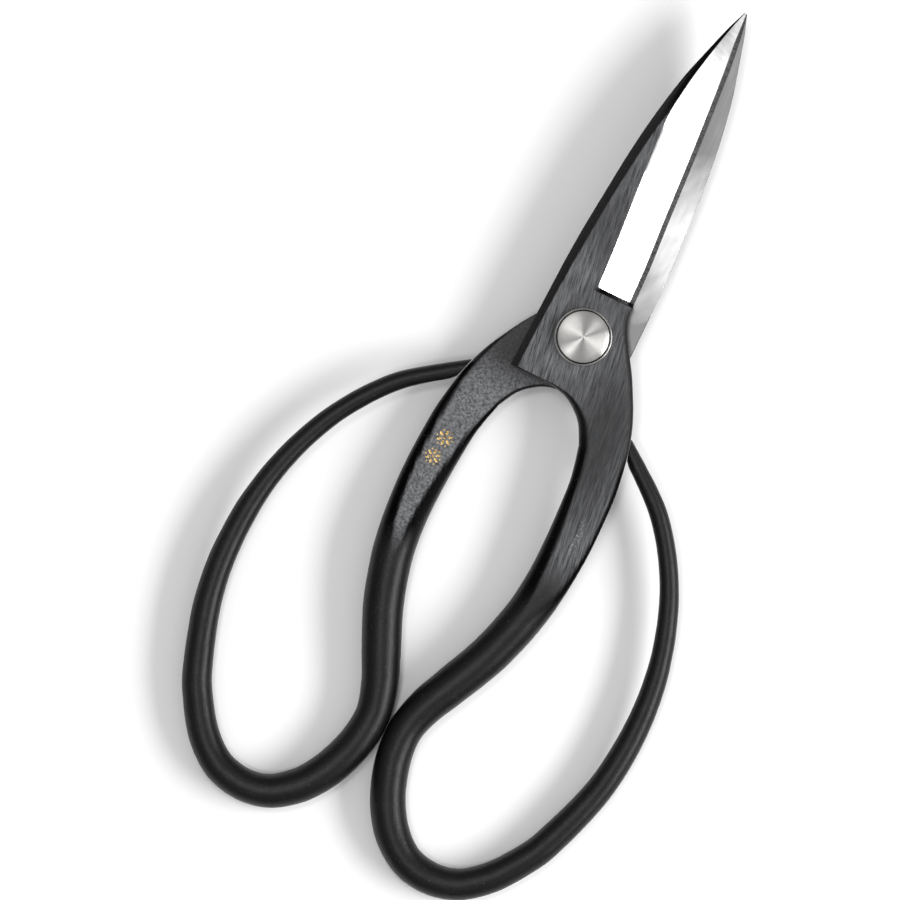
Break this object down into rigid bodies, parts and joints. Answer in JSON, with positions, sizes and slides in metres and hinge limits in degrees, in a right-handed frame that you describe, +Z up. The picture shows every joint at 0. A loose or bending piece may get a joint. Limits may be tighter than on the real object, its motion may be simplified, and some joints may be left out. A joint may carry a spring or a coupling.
{
  "type": "floral snips",
  "caption": "Forged flower shears with pointed bevelled blades, a riveted pivot and long finger loops drawn out to thin ends.",
  "frame": {"origin": "on the pivot axis, in the plane of the rivet tail's flat end, which rests on the table", "axes": "+Z up along the pivot axis, +Y from the pivot to the blade tips with the blades closed, +X towards the upper half's handle"},
  "size_m": [0.1018, 0.2004, 0.0144],
  "materials": {
    "black_steel": "forged, brushed and blackened, with the cutting bevel ground bright",
    "turned_steel": "bright, lathe turned"
  },
  "bodies": {
    "lower_blade": {"lower_half": "black_steel", "pivot_rivet": "turned_steel", "top_washer": "turned_steel", "bottom_washer": "turned_steel"},
    "upper_blade": {"upper_half": "black_steel"}
  },
  "joints": [
    {"name": "pivot", "type": "hinge", "parent": "lower_blade", "child": "upper_blade", "pos_m": [0, 0, 0.0077], "axis": [0, 0, 1], "range_deg": [0, 48]}
  ]
}
